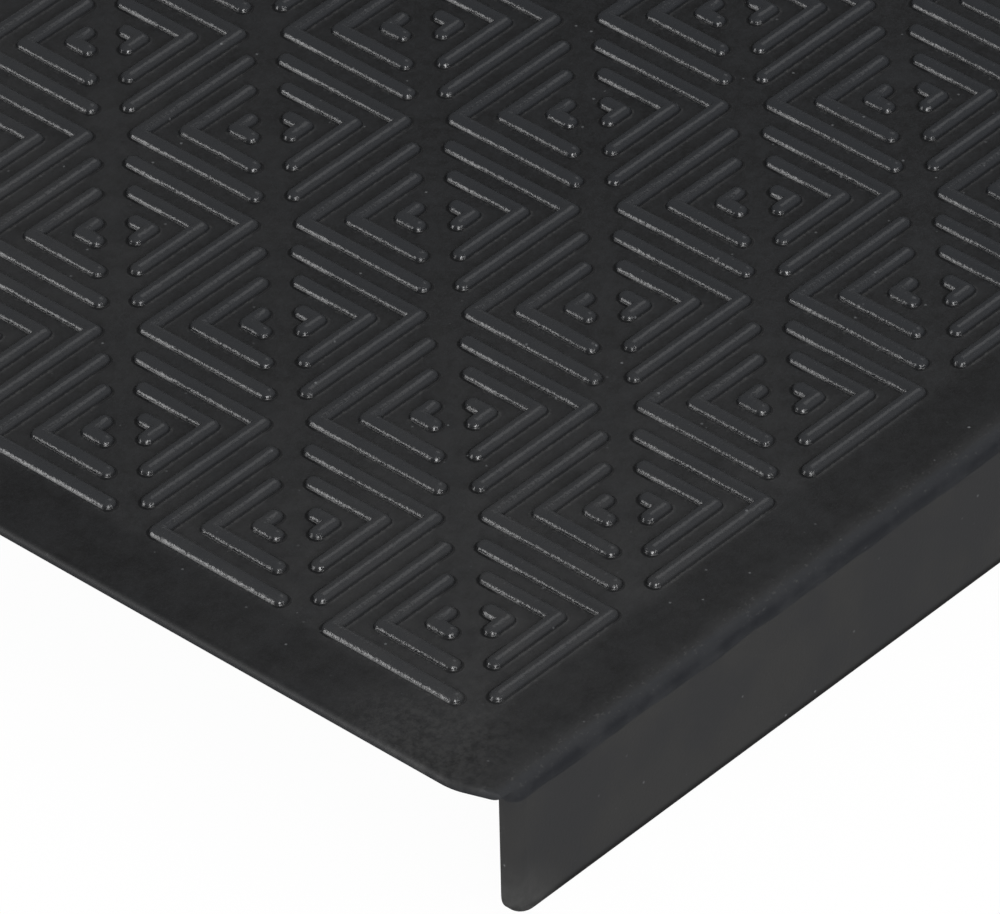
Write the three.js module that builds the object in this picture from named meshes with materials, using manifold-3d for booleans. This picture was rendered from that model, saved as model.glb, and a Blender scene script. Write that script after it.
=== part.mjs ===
import * as THREE from 'three'
import { mergeVertices } from 'three/addons/utils/BufferGeometryUtils.js'
import Module from 'manifold-3d'

// Anti slip stair tread mat: one moulded rubber sheet whose front edge turns down over the
// nosing of a step. Its top carries rows of square cells, and each cell holds three nested
// squares of raised ridges that stop short of one diagonal. Millimetres, +Z up, the lip faces
// -Y, and the origin is the middle of the flat underside that lies on the step.

// Ridge pattern
const cellPitch = 42.5
const columnCount = 17
const rowCount = 5
const outerSquareHalfSide = 17.7
const middleSquareHalfSide = 11.1
const innerSquareHalfSide = 4.6
const ridgeFootWidth = 4
const ridgeCrestWidth = 1.6
const ridgeHeight = 1.5
const diagonalCut = 5.9

// Sheet
const sheetThickness = 1.9
const endBorder = 13.9
const rearBorder = 13.9
const frontBorder = 15.9
const topEdgeRadius = 1.2
const rearCornerRadius = 6
const frontCornerSetback = 10
const frontCornerInset = 3.6
const frontCornerRadius = 14

// Turned down lip
const lipDrop = 30
const lipThickness = 4
const lipEndInset = 5.8
const lipCornerRadius = 5
const lipEdgeRadius = 3
const bendRadius = 3.2
const insideBendRadius = 1.5

// Smoothness of the curves, and how far a joined or cutting solid runs past what it meets
const bendSteps = 5
const cornerSteps = 4
const edgeSteps = 3
const overlap = 0.4
const overrun = 10

// Overall sizes that follow from the values above
const matWidth = columnCount * cellPitch + 2 * endBorder
const bedDepth = rowCount * cellPitch + frontBorder + rearBorder - lipThickness
const rearY = bedDepth / 2
const lipInnerY = -bedDepth / 2
const lipFaceY = lipInnerY - lipThickness
const lipBottomZ = -lipDrop

const axisX = new THREE.Vector3(1, 0, 0)
const axisY = new THREE.Vector3(0, 1, 0)
const axisZ = new THREE.Vector3(0, 0, 1)

const wasm = await Module()
wasm.setup()

// A closed three.js geometry as a solid that can be joined and cut.
function solidOf(geometry) {
  const bare = geometry.clone()
  bare.deleteAttribute('normal')
  bare.deleteAttribute('uv')
  const merged = mergeVertices(bare, 1e-5)
  const mesh = new wasm.Mesh({
    numProp: 3,
    vertProperties: new Float32Array(merged.attributes.position.array),
    triVerts: new Uint32Array(merged.index.array)
  })
  return new wasm.Manifold(mesh)
}

function geometryOf(solid) {
  const mesh = solid.getMesh()
  const geometry = new THREE.BufferGeometry()
  geometry.setAttribute('position', new THREE.BufferAttribute(new Float32Array(mesh.vertProperties), 3))
  geometry.setIndex(new THREE.BufferAttribute(new Uint32Array(mesh.triVerts), 1))
  geometry.computeVertexNormals()
  return geometry
}

// A closed outline whose corners are listed counterclockwise, each as x, y and, where it is
// rounded, the radius. A corner may stand at any angle.
function roundedShape(corners) {
  const shape = new THREE.Shape()
  corners.forEach(([x, y, radius], i) => {
    if (!radius) {
      if (i === 0) shape.moveTo(x, y)
      else shape.lineTo(x, y)
      return
    }
    const corner = new THREE.Vector2(x, y)
    const [beforeX, beforeY] = corners[(i + corners.length - 1) % corners.length]
    const [afterX, afterY] = corners[(i + 1) % corners.length]
    const back = new THREE.Vector2(beforeX, beforeY).sub(corner).normalize()
    const ahead = new THREE.Vector2(afterX, afterY).sub(corner).normalize()
    const half = Math.acos(back.dot(ahead)) / 2
    const inward = back.clone().add(ahead).setLength(radius / Math.sin(half))
    const centre = corner.clone().add(inward)
    const start = corner.clone().addScaledVector(back, radius / Math.tan(half)).sub(centre)
    const end = corner.clone().addScaledVector(ahead, radius / Math.tan(half)).sub(centre)
    shape.absarc(centre.x, centre.y, radius, start.angle(), end.angle(), false)
  })
  shape.closePath()
  return shape
}

// A prism of an outline whose edges at both ends are rounded over.
function roundedPrism(outline, depth, edgeRadius) {
  return new THREE.ExtrudeGeometry(outline, {
    depth,
    bevelEnabled: true,
    bevelThickness: edgeRadius,
    bevelSize: edgeRadius,
    bevelOffset: -edgeRadius,
    bevelSegments: edgeSteps,
    curveSegments: cornerSteps
  })
}

// The cross-section of sheet, bend and lip, drawn in (y, z) and run along the width.
function crossSection() {
  const bendCentreY = lipFaceY + bendRadius
  const bendCentreZ = sheetThickness - bendRadius
  const insideCentreY = lipInnerY + insideBendRadius
  const quarter = Math.PI / 2
  const section = new THREE.Shape()
  section.moveTo(rearY, 0)
  section.lineTo(rearY, sheetThickness)
  section.absarc(bendCentreY, bendCentreZ, bendRadius, quarter, 2 * quarter, false)
  section.lineTo(lipFaceY, lipBottomZ)
  section.lineTo(lipInnerY, lipBottomZ)
  section.absarc(insideCentreY, -insideBendRadius, insideBendRadius, 2 * quarter, quarter, true)
  section.closePath()
  const geometry = new THREE.ExtrudeGeometry(section, {
    depth: matWidth + 2 * overrun,
    bevelEnabled: false,
    curveSegments: bendSteps
  })
  geometry.translate(0, 0, -matWidth / 2 - overrun)
  geometry.applyMatrix4(new THREE.Matrix4().makeBasis(axisY, axisZ, axisX))
  return solidOf(geometry)
}

// The outline of the mat seen from above, its top edge rounded over. Each end draws in at a
// slant just behind the lip, and the slant runs on past the lip's face.
function planOutline() {
  const x = matWidth / 2
  const slant = frontCornerInset / frontCornerSetback
  const setbackY = lipFaceY + frontCornerSetback
  const frontY = lipFaceY - overrun
  const frontX = x - slant * (frontCornerSetback + overrun)
  const outline = roundedShape([
    [-frontX, frontY],
    [frontX, frontY],
    [x, setbackY, frontCornerRadius],
    [x, rearY, rearCornerRadius],
    [-x, rearY, rearCornerRadius],
    [-x, setbackY, frontCornerRadius]
  ])
  const depth = sheetThickness + lipDrop + overrun
  const geometry = roundedPrism(outline, depth, topEdgeRadius)
  geometry.translate(0, 0, sheetThickness - depth - topEdgeRadius)
  return solidOf(geometry)
}

// The outline of the mat seen from the front: the lip stops short of both ends of the sheet,
// its lower corners are rounded, and so are the edges of its face.
function frontOutline() {
  const wide = matWidth / 2 + overrun
  const high = sheetThickness + overrun
  const lipEnd = matWidth / 2 - lipEndInset
  const outline = roundedShape([
    [-wide, high],
    [-wide, 0],
    [-lipEnd, 0],
    [-lipEnd, lipBottomZ, lipCornerRadius],
    [lipEnd, lipBottomZ, lipCornerRadius],
    [lipEnd, 0],
    [wide, 0],
    [wide, high]
  ])
  const depth = bedDepth + lipThickness + overrun
  const geometry = roundedPrism(outline, depth, lipEdgeRadius)
  geometry.applyMatrix4(new THREE.Matrix4().makeBasis(axisX, axisZ, axisY.clone().negate()))
  geometry.translate(0, lipFaceY + depth + lipEdgeRadius, 0)
  return solidOf(geometry)
}

// Half of a square of ridge seen from above: two arms from one corner of the square, each
// ending short of the diagonal. A half width of 0 gives its centre line.
function halfSquareOutline(halfSide, halfWidth) {
  const near = halfSide - halfWidth
  const far = halfSide + halfWidth
  const tip = halfSide - diagonalCut + halfWidth
  return [
    [-far, far],
    [-far, -tip],
    [-near, -tip],
    [-near, near],
    [tip, near],
    [tip, far]
  ].map(([x, y]) => new THREE.Vector2(x, y))
}

// A closed solid between two outlines with the same number of points. Where points of the upper
// outline meet, as along a sharp crest, the triangles that have no area are left out.
function lofted(lower, lowerZ, upper, upperZ) {
  const points = []
  lower.forEach((p) => points.push(p.x, p.y, lowerZ))
  upper.forEach((p) => points.push(p.x, p.y, upperZ))
  const count = lower.length
  const faces = []
  for (let i = 0; i < count; i += 1) {
    const next = (i + 1) % count
    faces.push([i, next, count + next])
    faces.push([i, count + next, count + i])
  }
  THREE.ShapeUtils.triangulateShape(lower, []).forEach(([a, b, c]) => {
    faces.push([c, b, a])
    faces.push([count + a, count + b, count + c])
  })
  const place = (i) => points.slice(3 * i, 3 * i + 3).join(' ')
  const kept = faces.filter((face) => new Set(face.map(place)).size === 3)
  const geometry = new THREE.BufferGeometry()
  geometry.setAttribute('position', new THREE.Float32BufferAttribute(points, 3))
  geometry.setIndex(kept.flat())
  return geometry
}

// One half square of ridge, its foot carried a little way down into the sheet.
function ridge(halfSide, crestWidth) {
  const spreadPerHeight = (ridgeFootWidth - crestWidth) / ridgeHeight
  const sunkWidth = ridgeFootWidth + overlap * spreadPerHeight
  const lower = halfSquareOutline(halfSide, sunkWidth / 2)
  const upper = halfSquareOutline(halfSide, crestWidth / 2)
  return lofted(lower, sheetThickness - overlap, upper, sheetThickness + ridgeHeight)
}

// The two halves of the three nested squares of one cell, each half the other turned half round.
// The innermost halves are too small for a flat crest and come to a line.
function cellRidges() {
  const halves = [
    ridge(outerSquareHalfSide, ridgeCrestWidth),
    ridge(middleSquareHalfSide, ridgeCrestWidth),
    ridge(innerSquareHalfSide, 0)
  ]
  return halves.flatMap((half) => [half, half.clone().rotateZ(Math.PI)])
}

// Every ridge of the mat, joined to the sheet in one step.
function allRidges() {
  const cell = cellRidges()
  const firstX = -matWidth / 2 + endBorder + cellPitch / 2
  const firstY = lipFaceY + frontBorder + cellPitch / 2
  const solids = []
  for (let column = 0; column < columnCount; column += 1) {
    for (let row = 0; row < rowCount; row += 1) {
      const x = firstX + column * cellPitch
      const y = firstY + row * cellPitch
      cell.forEach((geometry) => solids.push(solidOf(geometry.clone().translate(x, y, 0))))
    }
  }
  return wasm.Manifold.union(solids)
}

const body = crossSection().intersect(planOutline()).intersect(frontOutline())
const mat = body.add(allRidges())

const rubber = new THREE.MeshStandardMaterial({ color: 0x28292c, roughness: 0.55, metalness: 0 })
const treadMat = new THREE.Mesh(geometryOf(mat), rubber)
treadMat.name = 'tread_mat'

const group = new THREE.Group()
group.add(treadMat)

export default group
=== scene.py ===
import math

import bpy
from mathutils import Matrix, Vector
from mathutils.geometry import delaunay_2d_cdt


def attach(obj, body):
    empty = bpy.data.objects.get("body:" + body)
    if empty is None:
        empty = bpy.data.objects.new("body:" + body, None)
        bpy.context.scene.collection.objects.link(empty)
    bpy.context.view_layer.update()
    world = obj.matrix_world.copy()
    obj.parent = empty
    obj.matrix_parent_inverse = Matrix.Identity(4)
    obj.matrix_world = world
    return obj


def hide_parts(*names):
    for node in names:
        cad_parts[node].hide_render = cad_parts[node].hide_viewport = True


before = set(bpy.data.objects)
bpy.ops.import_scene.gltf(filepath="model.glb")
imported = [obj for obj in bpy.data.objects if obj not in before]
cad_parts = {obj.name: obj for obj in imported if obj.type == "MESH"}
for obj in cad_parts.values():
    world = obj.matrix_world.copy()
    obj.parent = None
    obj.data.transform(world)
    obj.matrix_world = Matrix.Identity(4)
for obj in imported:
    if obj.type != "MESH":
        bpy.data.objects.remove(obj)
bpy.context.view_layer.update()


# The tread mat: one sheet of black rubber, moulded in a single piece. It is pressed in a mould
# cut with nested half squares, which leaves the grip ridges standing on its top, and the front
# edge is moulded down into a lip that hooks over the nosing of a step.

MM = 0.001

cell_pitch = 42.5
column_count = 17
row_count = 5
half_sides = (17.7, 11.1, 4.6)
tip_setback = 5.35

sheet_thickness = 1.9
end_border = 13.9
rear_border = 13.9
front_border = 15.9
top_edge_radius = 1.6
rear_corner_radius = 6
front_corner_setback = 10
front_corner_inset = 3.6
front_corner_radius = 14

lip_drop = 30
lip_thickness = 4
lip_end_inset = 5.8
lip_corner_radius = 5
lip_edge_radius = 3
bend_radius = 3.2
inside_bend_radius = 1.5
overrun = 10

mat_width = column_count * cell_pitch + 2 * end_border
lip_inner_y = -(row_count * cell_pitch + front_border + rear_border - lip_thickness) / 2
lip_face_y = lip_inner_y - lip_thickness
rear_y = -lip_inner_y

# A ridge is a bead with a round back and a soft foot: its height above the sheet by the distance
# from its centre line. The mould was cut with a round cutter that followed this line, which
# rounds the tips and the outer corner of each half square and leaves its inner corner sharp.
bead_radius = 1.75
ridge_height = 1.5
bead = []
for tilt in (0, 16, 31, 45, 57, 69):
    lean = math.radians(tilt)
    bead.append((bead_radius * math.sin(lean), ridge_height - bead_radius * (1 - math.cos(lean))))
bead += [(1.73, 0.13), (1.88, 0.03), (2.45, 0)]
tip_steps = 6
corner_steps = 3


def arc(x, y, radius, start, turn, steps):
    """Points along a part of a circle, from a start angle in degrees."""
    angles = [math.radians(start + turn * step / steps) for step in range(steps + 1)]
    return [(x + radius * math.cos(angle), y + radius * math.sin(angle)) for angle in angles]


def half_square_ring(half_side, distance):
    """The outline around two arms of a half square, at a distance from their centre line."""
    tip = half_side - tip_setback
    ring = arc(-half_side, half_side, distance, 90, 90, corner_steps)
    ring += arc(-half_side, -tip, distance, 180, 180, tip_steps)
    ring.append((-half_side + distance, half_side - distance))
    ring += arc(tip, half_side, distance, -90, 180, tip_steps)
    return ring


def half_turned(points):
    return [(-x, -y) for x, y in points]


class Surface:
    """Points and faces of one skin, where points that fall together are one point."""

    def __init__(self):
        self.points = []
        self.faces = []
        self.index = {}

    def point(self, x, y, z):
        key = (round(x, 3), round(y, 3), round(z, 3))
        if key not in self.index:
            self.index[key] = len(self.points)
            self.points.append((x, y, z))
        return self.index[key]

    def face(self, corners):
        """Adds a face without the corners that fall together, if it has any area left."""
        loop = []
        for corner in corners:
            if corner not in loop:
                loop.append(corner)
        if len(loop) > 2:
            self.faces.append(loop)

    def add(self, other, x, y):
        """Adds a copy of another skin, moved in the plane."""
        places = [self.point(px + x, py + y, pz) for px, py, pz in other.points]
        for loop in other.faces:
            self.face([places[i] for i in loop])

    def fill(self, outline, holes, z):
        """A flat face with holes, which shares its points with what meets it."""
        loops = [outline] + holes
        flat = [point for loop in loops for point in loop]
        edges = []
        start = 0
        for loop in loops:
            edges += [(start + i, start + (i + 1) % len(loop)) for i in range(len(loop))]
            start += len(loop)
        found = delaunay_2d_cdt([Vector(p) for p in flat], edges, [], 0, 1e-6, True)
        points, triangles = found[0], found[2]
        for triangle in triangles:
            middle = sum((points[i] for i in triangle), Vector((0, 0))) / 3
            if inside(middle, outline) and not any(inside(middle, hole) for hole in holes):
                self.face([self.point(*points[i], z) for i in triangle])


def inside(place, loop):
    """Whether a place in the plane lies within a loop, by counting the edges to its right."""
    odd = False
    for (ax, ay), (bx, by) in zip(loop, loop[1:] + loop[:1]):
        if (ay > place[1]) != (by > place[1]):
            if place[0] < ax + (bx - ax) * (place[1] - ay) / (by - ay):
                odd = not odd
    return odd


def ridged_cell():
    """One cell of the pattern: a square of sheet with three nested squares of ridge on it."""
    cell = Surface()
    feet = []
    for half_side in half_sides:
        for turn in (list, half_turned):
            rings = [(turn(half_square_ring(half_side, d)), h) for d, h in bead]
            for (upper, upper_h), (lower, lower_h) in zip(rings, rings[1:]):
                upper_z = sheet_thickness + upper_h
                lower_z = sheet_thickness + lower_h
                for i in range(len(upper)):
                    j = (i + 1) % len(upper)
                    corners = [(lower[i], lower_z), (lower[j], lower_z)]
                    corners += [(upper[j], upper_z), (upper[i], upper_z)]
                    cell.face([cell.point(*p, z) for p, z in corners])
            feet.append(rings[-1][0])
    edge = cell_pitch / 2
    cell.fill([(-edge, -edge), (edge, -edge), (edge, edge), (-edge, edge)], feet, sheet_thickness)
    return cell


def rounded(corners, steps):
    """An outline, counterclockwise, from corners given as x, y and, where it is rounded, a radius."""
    points = []
    for i, (x, y, *radius) in enumerate(corners):
        corner = Vector((x, y))
        if not radius:
            points.append(corner)
            continue
        back = (Vector(corners[i - 1][:2]) - corner).normalized()
        ahead = (Vector(corners[(i + 1) % len(corners)][:2]) - corner).normalized()
        half = back.angle(ahead) / 2
        centre = corner + (back + ahead).normalized() * radius[0] / math.sin(half)
        start = corner + back * radius[0] / math.tan(half) - centre
        turn = math.pi - 2 * half
        for step in range(steps + 1):
            points.append(centre + Matrix.Rotation(turn * step / steps, 2) @ start)
    return points


def drawn_in(points, distance):
    """The same outline moved inwards by a distance."""
    moved = []
    for i, point in enumerate(points):
        back = (point - points[i - 1]).normalized()
        ahead = (points[(i + 1) % len(points)] - point).normalized()
        mitre = (Vector((-back.y, back.x)) + Vector((-ahead.y, ahead.x))).normalized()
        moved.append(point + mitre * distance / mitre.dot(Vector((-ahead.y, ahead.x))))
    return moved


def prism(name, outline, low, high, edge_radius=0, axes=None):
    """A block of an outline between two heights, turned to lie along three axes.

    Where an edge radius is given, the edge around its upper end is rounded over.
    """
    steps = 8 if edge_radius else 0
    levels = [(outline, low)]
    for step in range(steps + 1):
        angle = math.pi / 2 * step / max(steps, 1)
        ring = drawn_in(outline, edge_radius * (1 - math.cos(angle)))
        levels.append((ring, high - edge_radius * (1 - math.sin(angle))))
    points = [(p.x, p.y, z) for ring, z in levels for p in ring]
    count = len(outline)
    faces = [list(range(count))[::-1]]
    for level in range(len(levels) - 1):
        low_ring = level * count
        high_ring = low_ring + count
        for i in range(count):
            j = (i + 1) % count
            faces.append([low_ring + i, low_ring + j, high_ring + j, high_ring + i])
    faces.append([(len(levels) - 1) * count + i for i in range(count)])
    mesh = bpy.data.meshes.new(name)
    mesh.from_pydata(points, [], faces)
    if axes:
        mesh.transform(Matrix(axes).transposed().to_4x4())
    block = bpy.data.objects.new(name, mesh)
    bpy.context.scene.collection.objects.link(block)
    return block


def side_section():
    """Sheet, bend and lip seen from the end, as y and z. The sheet eases over just before the bend."""
    tilts = [0.7, 2, 3.8, 6]
    lengths = [0.8] * len(tilts)
    bend_start = 7
    bend_steps = 14
    for step in range(bend_steps):
        tilts.append(bend_start + (90 - bend_start) * (step + 0.5) / bend_steps)
        lengths.append(math.radians(90 - bend_start) / bend_steps * bend_radius)
    bend = [Vector((0, sheet_thickness))]
    for tilt, length in zip(tilts, lengths):
        angle = math.radians(tilt)
        bend.append(bend[-1] - length * Vector((math.cos(angle), math.sin(angle))))
    section = [Vector((rear_y, 0)), Vector((rear_y, sheet_thickness))]
    section += [p + Vector((lip_face_y - bend[-1].x, 0)) for p in bend]
    section += [Vector((lip_face_y, -lip_drop)), Vector((lip_inner_y, -lip_drop))]
    inside_steps = 6
    for step in range(inside_steps + 1):
        angle = math.pi - math.pi / 2 * step / inside_steps
        y = lip_inner_y + inside_bend_radius * (1 + math.cos(angle))
        section.append(Vector((y, inside_bend_radius * (math.sin(angle) - 1))))
    return section


def seen_from_above():
    """The outline of the sheet. Each end draws in at a slant just behind the lip."""
    x = mat_width / 2
    slant = front_corner_inset / front_corner_setback
    front_x = x - slant * (front_corner_setback + overrun)
    setback_y = lip_face_y + front_corner_setback
    return rounded(
        [
            (-front_x, lip_face_y - overrun),
            (front_x, lip_face_y - overrun),
            (x, setback_y, front_corner_radius),
            (x, rear_y, rear_corner_radius),
            (-x, rear_y, rear_corner_radius),
            (-x, setback_y, front_corner_radius),
        ],
        10,
    )


def seen_from_front():
    """The outline of sheet and lip. The lip stops short of both ends of the sheet."""
    wide = mat_width / 2 + overrun
    high = sheet_thickness + overrun
    lip_end = mat_width / 2 - lip_end_inset
    return rounded(
        [
            (-wide, high),
            (-wide, 0),
            (-lip_end, 0),
            (-lip_end, -lip_drop, lip_corner_radius),
            (lip_end, -lip_drop, lip_corner_radius),
            (lip_end, 0),
            (wide, 0),
            (wide, high),
        ],
        10,
    )


def plain_body():
    """The mat without its ridges: what the three outlines have in common."""
    reach = mat_width / 2 + overrun
    along_width = ((0, 1, 0), (0, 0, 1), (1, 0, 0))
    towards_front = ((1, 0, 0), (0, 0, 1), (0, -1, 0))
    along = prism("section", side_section(), -reach, reach, 0, along_width)
    above = prism("plan", seen_from_above(), -lip_drop - overrun, sheet_thickness, top_edge_radius)
    front = prism("front", seen_from_front(), -rear_y - overrun, -lip_face_y, lip_edge_radius, towards_front)
    for cutter in (above, front):
        cut = along.modifiers.new("cut", "BOOLEAN")
        cut.operation = "INTERSECT"
        cut.solver = "EXACT"
        cut.object = cutter
    graph = bpy.context.evaluated_depsgraph_get()
    mesh = bpy.data.meshes.new_from_object(along.evaluated_get(graph))
    for block in (along, above, front):
        bpy.data.objects.remove(block)
    return mesh


def rim(loops):
    """The outline around several flat faces that lie side by side."""
    sides = {side for loop in loops for side in zip(loop, loop[1:] + loop[:1])}
    following = {here: there for here, there in sides if (there, here) not in sides}
    outline = [next(iter(sorted(following)))]
    while following[outline[-1]] != outline[0]:
        outline.append(following[outline[-1]])
    return outline


def whole_mat():
    """Body and ridged field as one closed skin."""
    skin = Surface()
    body = plain_body()
    top_faces = []
    for polygon in body.polygons:
        loop = [tuple(body.vertices[i].co) for i in polygon.vertices]
        if min(z for x, y, z in loop) > sheet_thickness - 1e-3:
            top_faces.append([(x, y) for x, y, z in loop])
        else:
            skin.face([skin.point(*p) for p in loop])
    top_outline = rim(top_faces)
    bpy.data.meshes.remove(body)
    cell = ridged_cell()
    left = -mat_width / 2 + end_border
    front = lip_face_y + front_border
    for column in range(column_count):
        for row in range(row_count):
            skin.add(cell, left + (column + 0.5) * cell_pitch, front + (row + 0.5) * cell_pitch)
    right = left + column_count * cell_pitch
    rear = front + row_count * cell_pitch
    field = [(left + i * cell_pitch, front) for i in range(column_count)]
    field += [(right, front + i * cell_pitch) for i in range(row_count)]
    field += [(right - i * cell_pitch, rear) for i in range(column_count)]
    field += [(left, rear - i * cell_pitch) for i in range(row_count)]
    skin.fill(top_outline, [field], sheet_thickness)
    return skin


skin = whole_mat()
mesh = bpy.data.meshes.new("tread_mat_rubber")
mesh.from_pydata([[c * MM for c in p] for p in skin.points], [], skin.faces)
mesh.validate()
for polygon in mesh.polygons:
    polygon.use_smooth = True
mesh.set_sharp_from_angle(angle=math.radians(40))
mat = bpy.data.objects.new("tread_mat_rubber", mesh)
bpy.context.scene.collection.objects.link(mat)
flat = mat.modifiers.new("flat faces", "WEIGHTED_NORMAL")
flat.keep_sharp = True

rubber = bpy.data.materials.new("black_rubber")
rubber.use_nodes = True
nodes = rubber.node_tree.nodes
links = rubber.node_tree.links


def node(kind, settings=None, **wired):
    """A new node. Each input is a value or an output to link.

    It is given by its name, with spaces as underscores, or by its number after an underscore.
    """
    made = nodes.new(kind)
    for name, value in (settings or {}).items():
        setattr(made, name, value)
    for name, value in wired.items():
        socket = made.inputs[int(name[1:])] if name[0] == "_" else made.inputs[name.replace("_", " ")]
        if isinstance(value, bpy.types.NodeSocket):
            links.new(value, socket)
        else:
            socket.default_value = value
    return made


place = node("ShaderNodeTexCoord").outputs["Object"]
place_y = node("ShaderNodeSeparateXYZ", Vector=place).outputs["Y"]
height = node("ShaderNodeSeparateXYZ", Vector=place).outputs["Z"]


def ramp(value, low, high, to_low=0.0, to_high=1.0):
    """A value carried smoothly from one range to another."""
    made = node("ShaderNodeMapRange", {"interpolation_type": "SMOOTHSTEP"}, Value=value)
    made.inputs["From Min"].default_value = low
    made.inputs["From Max"].default_value = high
    made.inputs["To Min"].default_value = to_low
    made.inputs["To Max"].default_value = to_high
    return made.outputs["Result"]


def above_sheet(low, high, to_low=0.0, to_high=1.0):
    """A ramp over the height above the flat top of the sheet, in millimetres."""
    return ramp(height, (sheet_thickness + low) * MM, (sheet_thickness + high) * MM, to_low, to_high)


def maths(operation, *values):
    """The result of a sum or another operation on single values."""
    wired = {f"_{i}": value for i, value in enumerate(values)}
    return node("ShaderNodeMath", {"operation": operation}, **wired).outputs[0]


def product(first, second):
    return maths("MULTIPLY", first, second)


def mixed(share, first, second):
    """A colour between two colours."""
    return node("ShaderNodeMix", {"data_type": "RGBA"}, _0=share, _6=first, _7=second).outputs[2]


def blended(share, first, second):
    """A value between two values."""
    return node("ShaderNodeMix", {"data_type": "FLOAT"}, _0=share, _2=first, _3=second).outputs[0]


def noise(grains_per_metre, detail, roughness=0.5):
    made = node("ShaderNodeTexNoise", Vector=place, Scale=grains_per_metre, Detail=detail)
    made.inputs["Roughness"].default_value = roughness
    return made.outputs["Fac"]


# The rubber is lighter on the ridges, with a faint painted glow just beside them, and painted shade
# darkens the crease at their feet.
on_ridge = above_sheet(0.1, 0.5)
glow_beside_ridge = above_sheet(0.002, 0.03)
shade_in_crease = product(above_sheet(0.03, 0.1), above_sheet(0.25, 0.9, 1, 0))

# A narrow ring of painted shade lies around the tips of the ridges, which all end beside one
# diagonal of their cell.
across = node("ShaderNodeVectorMath", {"operation": "DOT_PRODUCT"}, _0=place, _1=(1, -1, 0))
middle_row_y = lip_face_y + front_border + (row_count // 2 + 0.5) * cell_pitch
from_middle = maths("SUBTRACT", across.outputs["Value"], -middle_row_y * MM)
from_diagonal = maths("ABSOLUTE", maths("WRAP", from_middle, cell_pitch / 2 * MM, -cell_pitch / 2 * MM))
# The ring of painted shade, by the height above the sheet.
ring = product(above_sheet(0.006, 0.02), above_sheet(0.1, 0.3, 1, 0))
shade_around_tips = product(ring, ramp(from_diagonal, 8.5 * MM, 5.5 * MM))

# The bend is bluish along its top, and further down it is near black with painted shade in blotches.
# The face of the lip below it is greyer, behind a border that wavers, and the lip's very edge is
# dark with painted shade where it meets the floor. All of them are duller than the flat of the
# sheet, and so are its rounded edges.
at_bend = ramp(place_y, (lip_face_y + 6) * MM, (lip_face_y + 4) * MM)
over_edge = above_sheet(-0.05, -0.5)
# Painted shade in blotches on the lower part of the bend, where it turns down.
shade_down_bend = product(above_sheet(-0.2, -2.2), ramp(noise(140, 4, 0.6), 0.35, 0.6, 0.5, 1))
wavering_height = maths("MULTIPLY_ADD", noise(90, 3), 1.6 * MM, height)
on_lip = ramp(wavering_height, -1.05 * MM, -1.30 * MM)
# The lip's lower edge, which is darkened with painted shade where it meets the floor.
at_foot_of_lip = ramp(height, -26.2 * MM, -27.8 * MM)

# Handling has left the sheet a little dusty and grey towards its corners: in a soft film between
# the ridges and in a mottled patch beside the end edge. The lower corners of the lip are lighter
# with painted light, for the light bounced up from the floor.
mirrored_place = node("ShaderNodeVectorMath", {"operation": "ABSOLUTE"}, _0=place).outputs[0]
mirrored_x = node("ShaderNodeSeparateXYZ", Vector=mirrored_place).outputs["X"]


def distance_to(x, y, z):
    """The distance to a point given in millimetres, or to the nearest of its mirrored twins.

    Left and right, front and rear, above and below are all taken alike.
    """
    point = (x * MM, y * MM, z * MM)
    made = node("ShaderNodeVectorMath", {"operation": "DISTANCE"}, _0=mirrored_place, _1=point)
    return made.outputs["Value"]


field_end = mat_width / 2 - end_border
field_front = lip_face_y + front_border
in_field = product(
    ramp(mirrored_x, (field_end + 2) * MM, (field_end - 4) * MM),
    ramp(place_y, (field_front - 2) * MM, (field_front + 4) * MM),
)
film = ramp(distance_to(field_end, -field_front, 0), 0.0, 0.20, 0.62, 0)
film = product(film, ramp(in_field, 0, 1, 0.45, 1))
film = product(film, ramp(noise(130, 6, 0.7), 0.32, 0.68, 0.5, 1.15))
patch = product(
    ramp(distance_to(mat_width / 2 - 4, -lip_face_y - 21, sheet_thickness), 0.007, 0.024, 1, 0),
    ramp(noise(550, 5, 0.75), 0.35, 0.65, 0.05, 0.5),
)
patch = product(patch, above_sheet(-2.6, -0.8))
# Painted light on the lower corners of the lip, in mottles, for the light bounced up from the floor.
lip_bounce_light = product(
    ramp(distance_to(mat_width / 2 - lip_end_inset, -lip_face_y, lip_drop - 2), 0.003, 0.013, 0.75, 0),
    ramp(noise(450, 4, 0.7), 0.35, 0.65, 0.4, 1),
)

# A mottled painted glow along the feet of the ridges spreads their highlights. Fine dust clings
# along the upper edge of the bend, and single specks of different strength lie everywhere.
# The painted glow along the feet of the ridges, in mottles.
glow_along_feet = product(above_sheet(0.001, 0.01), above_sheet(0.05, 0.3, 1, 0))
glow_along_feet = product(glow_along_feet, ramp(noise(1300, 3, 0.7), 0.50, 0.64, 0, 0.5))
along_bend = product(above_sheet(-0.01, -0.1), above_sheet(-1.0, -2.0, 1, 0))
along_bend = product(along_bend, ramp(noise(950, 3, 0.75), 0.58, 0.70, 0, 0.7))
speck_places = node("ShaderNodeTexVoronoi", Vector=place, Scale=260)
speck_kind = node("ShaderNodeSeparateColor", Color=speck_places.outputs["Color"]).outputs[0]
specks = ramp(speck_places.outputs["Distance"], 0.035, 0.095, 1, 0)
specks = product(specks, ramp(speck_kind, 0.4, 1.0, 0, 0.8))

border_black = (0.0042, 0.0042, 0.0045, 1)
flat_black = (0.0074, 0.0075, 0.0079, 1)
ridge_black = (0.0240, 0.0256, 0.0285, 1)
# Painted shade for the creases at the feet of the ridges and the rings around their tips.
crease_shade = (0.0050, 0.0052, 0.0060, 1)
bend_blue = (0.0215, 0.0240, 0.0290, 1)
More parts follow.
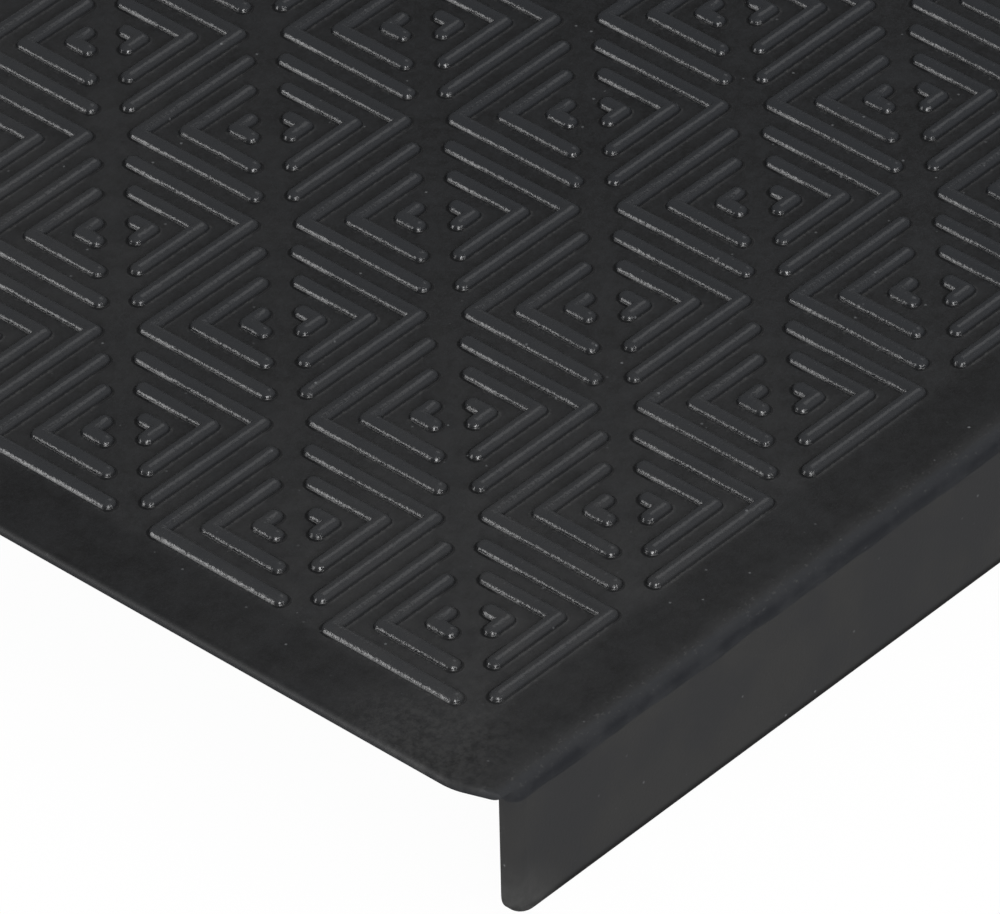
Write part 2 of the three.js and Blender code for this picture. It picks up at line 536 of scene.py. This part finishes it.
# Painted shade on the lower part of the bend.
bend_shade = (0.0062, 0.0074, 0.0108, 1)
lip_grey = (0.0218, 0.0217, 0.0215, 1)
lip_blue = (0.0182, 0.0185, 0.0198, 1)
# Painted shade for the lip's lower edge.
foot_shade = (0.0030, 0.0030, 0.0032, 1)
# Real dust, and also painted glow at the feet of the ridges and painted light on the lip's lower corners.
dust_and_painted_light_grey = (0.0470, 0.0470, 0.0465, 1)
film_grey = (0.0360, 0.0360, 0.0365, 1)
speck_grey = (0.1300, 0.1350, 0.1400, 1)

# Blotches everywhere, and mottles and a fine grain that are weaker on the plain borders than
# between the ridges.
weaker_on_border = ramp(in_field, 0, 1, 0.55, 1)
blotches = ramp(noise(70, 5, 0.6), 0.35, 0.75, 0, 0.3)
mottles = product(ramp(noise(420, 6, 0.75), 0.32, 0.68, 0, 0.42), weaker_on_border)
fine_grain = product(ramp(noise(1900, 4, 0.75), 0.45, 0.72, 0, 0.5), weaker_on_border)

colour = mixed(in_field, border_black, flat_black)
# A faint painted glow just beside the ridges, for the light that spreads from them.
colour = mixed(product(glow_beside_ridge, 0.25), colour, ridge_black)
colour = mixed(mottles, colour, ridge_black)
colour = mixed(fine_grain, colour, ridge_black)
colour = mixed(product(product(over_edge, at_bend), 0.7), colour, bend_blue)
colour = mixed(on_ridge, colour, ridge_black)
colour = mixed(blotches, colour, ridge_black)
colour = mixed(film, colour, film_grey)
# Painted shade in the crease at the feet of the ridges.
colour = mixed(product(shade_in_crease, 0.62), colour, crease_shade)
# Painted glow along the feet of the ridges.
colour = mixed(glow_along_feet, colour, dust_and_painted_light_grey)
# Painted shade in a narrow ring around the tips of the ridges.
colour = mixed(product(shade_around_tips, 0.9), colour, crease_shade)
# Painted shade in blotches on the lower part of the bend.
colour = mixed(shade_down_bend, colour, bend_shade)
colour = mixed(product(along_bend, at_bend), colour, dust_and_painted_light_grey)
lip_colour = mixed(ramp(noise(55, 3), 0.4, 0.62), lip_grey, lip_blue)
colour = mixed(on_lip, colour, lip_colour)
# Painted shade along the lip's lower edge, where it meets the floor.
colour = mixed(at_foot_of_lip, colour, foot_shade)
colour = mixed(patch, colour, dust_and_painted_light_grey)
# Painted light on the lower corners of the lip.
colour = mixed(lip_bounce_light, colour, dust_and_painted_light_grey)
colour = mixed(specks, colour, speck_grey)
links.new(colour, nodes["Principled BSDF"].inputs["Base Color"])

roughness = ramp(on_ridge, 0, 1, 0.40, 0.21)
roughness = blended(over_edge, roughness, 0.56)
roughness = blended(at_foot_of_lip, roughness, 0.9)
links.new(roughness, nodes["Principled BSDF"].inputs["Roughness"])

# A fine grain everywhere, and on the ridges small lumps that break up their highlights.
grain = node("ShaderNodeBump", Strength=0.6, Distance=0.05 * MM, Height=noise(1500, 4, 0.6))
lumps = node("ShaderNodeBump", Strength=product(on_ridge, 0.6), Distance=0.2 * MM, Height=noise(1000, 3, 0.6))
links.new(grain.outputs["Normal"], lumps.inputs["Normal"])
links.new(lumps.outputs["Normal"], nodes["Principled BSDF"].inputs["Normal"])
mesh.materials.append(rubber)

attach(mat, "root")
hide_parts("tread_mat")


# The stage: a plain pale floor at the height of the lip's lower edge, white behind, with soft
# lamps to the left, in front, to the right and above. Floor and background are white to the
# camera, and dimmer where the rubber's gloss reflects them.

floor_reach = 20
floor_height = -lip_drop * MM
floor_sides = ((-1, -1), (1, -1), (1, 1), (-1, 1))
floor_corners = [(x * floor_reach, y * floor_reach, floor_height) for x, y in floor_sides]
floor_mesh = bpy.data.meshes.new("floor")
floor_mesh.from_pydata(floor_corners, [], [(0, 1, 2, 3)])
floor = bpy.data.objects.new("floor", floor_mesh)
bpy.context.scene.collection.objects.link(floor)


def background_share(light_path):
    """1 for rays from the camera, straight, by way of a gloss or through something clear."""
    seen = light_path.outputs["Is Camera Ray"]
    for kind in ("Is Glossy Ray", "Is Transmission Ray"):
        seen = maths("MAXIMUM", seen, light_path.outputs[kind])
    return seen


def white_level(light_path, mirrored_level):
    """A strength of 1, and another level where the white is seen by way of a gloss."""
    made = node("ShaderNodeMapRange", Value=light_path.outputs["Is Glossy Ray"])
    made.inputs["To Min"].default_value = 1
    made.inputs["To Max"].default_value = mirrored_level
    return made.outputs["Result"]


floor_white = bpy.data.materials.new("floor_white")
floor_white.use_nodes = True
nodes = floor_white.node_tree.nodes
links = floor_white.node_tree.links
floor_shader = nodes["Principled BSDF"]
floor_shader.inputs["Base Color"].default_value = (0.9, 0.9, 0.9, 1)
floor_shader.inputs["Roughness"].default_value = 0.9
floor_shader.inputs["Specular IOR Level"].default_value = 0
glow = nodes.new("ShaderNodeEmission")
glow.inputs["Color"].default_value = (1, 1, 1, 1)
floor_light_path = node("ShaderNodeLightPath")
links.new(white_level(floor_light_path, 0.3), glow.inputs["Strength"])
floor_mix = nodes.new("ShaderNodeMixShader")
links.new(product(background_share(floor_light_path), 0.97), floor_mix.inputs[0])
links.new(floor_shader.outputs[0], floor_mix.inputs[1])
links.new(glow.outputs[0], floor_mix.inputs[2])
links.new(floor_mix.outputs[0], nodes["Material Output"].inputs["Surface"])
floor_mesh.materials.append(floor_white)

world = bpy.data.worlds.new("studio")
bpy.context.scene.world = world
world.use_nodes = True
nodes = world.node_tree.nodes
links = world.node_tree.links
studio = nodes["Background"]
studio.inputs["Color"].default_value = (1, 1, 1, 1)
studio.inputs["Strength"].default_value = 0.55
white = nodes.new("ShaderNodeBackground")
white.inputs["Color"].default_value = (1, 1, 1, 1)
world_light_path = node("ShaderNodeLightPath")
links.new(white_level(world_light_path, 0.09), white.inputs["Strength"])
world_mix = nodes.new("ShaderNodeMixShader")
links.new(background_share(world_light_path), world_mix.inputs[0])
links.new(studio.outputs[0], world_mix.inputs[1])
links.new(white.outputs[0], world_mix.inputs[2])
links.new(world_mix.outputs[0], nodes["World Output"].inputs["Surface"])


near_end = Vector((-0.2, -0.02, 0))


def soft_lamp(name, towards, distance, width, height, radiance, mirrored=True):
    """A flat soft lamp that faces the near end of the mat. Its radiance is what a mirror would show."""
    lamp = bpy.data.lights.new(name, "AREA")
    lamp.shape = "RECTANGLE"
    lamp.size = width
    lamp.size_y = height
    lamp.energy = radiance * width * height * math.pi
    holder = bpy.data.objects.new(name, lamp)
    way = Vector(towards).normalized()
    holder.location = near_end + way * distance
    holder.rotation_mode = "QUATERNION"
    holder.rotation_quaternion = way.to_track_quat("Z", "Y")
    holder.visible_glossy = mirrored
    bpy.context.scene.collection.objects.link(holder)


soft_lamp("lamp_back_left", (-0.775, 0.575, 0.14), 2.5, 0.75, 0.85, 8.0)
soft_lamp("lamp_front_left", (-0.62, -0.66, 0.42), 2.5, 0.62, 0.62, 21)
soft_lamp("lamp_front", (-0.09, -0.88, 0.41), 2.5, 0.4, 0.4, 13)
soft_lamp("lamp_right", (0.58, 0.10, 0.81), 2.5, 1.3, 1.3, 0.75)
soft_lamp("fill_front_right", (0.45, -0.65, 0.55), 3.0, 2.0, 2.0, 1.7, mirrored=False)
soft_lamp("fill_above", (-0.3, -0.5, 0.9), 3.0, 2.0, 2.0, 1.0, mirrored=False)


# The camera looks down on the near corner from the front left, through a long lens.

camera_data = bpy.data.cameras.new("camera")
camera_data.sensor_fit = "HORIZONTAL"
camera_data.sensor_width = 36
camera_data.lens = 437.2204
camera_data.clip_start = 0.05
camera_data.clip_end = 100
camera = bpy.data.objects.new("camera", camera_data)
camera.location = (-1.5739, -1.2371, 1.3758)
azimuth = math.radians(-47.19311)
elevation = math.radians(38.37365)
roll = math.radians(-1.35824)
back = Vector(
    (math.cos(elevation) * math.sin(azimuth), -math.cos(elevation) * math.cos(azimuth), math.sin(elevation))
)
right = Vector((math.cos(azimuth), math.sin(azimuth), 0))
up = back.cross(right)
camera_right = math.cos(roll) * right + math.sin(roll) * up
camera_up = math.cos(roll) * up - math.sin(roll) * right
camera.rotation_mode = "QUATERNION"
camera.rotation_quaternion = Matrix((camera_right, camera_up, back)).transposed().to_quaternion()
bpy.context.scene.collection.objects.link(camera)
bpy.context.scene.camera = camera

bpy.context.scene.view_settings.view_transform = "Standard"
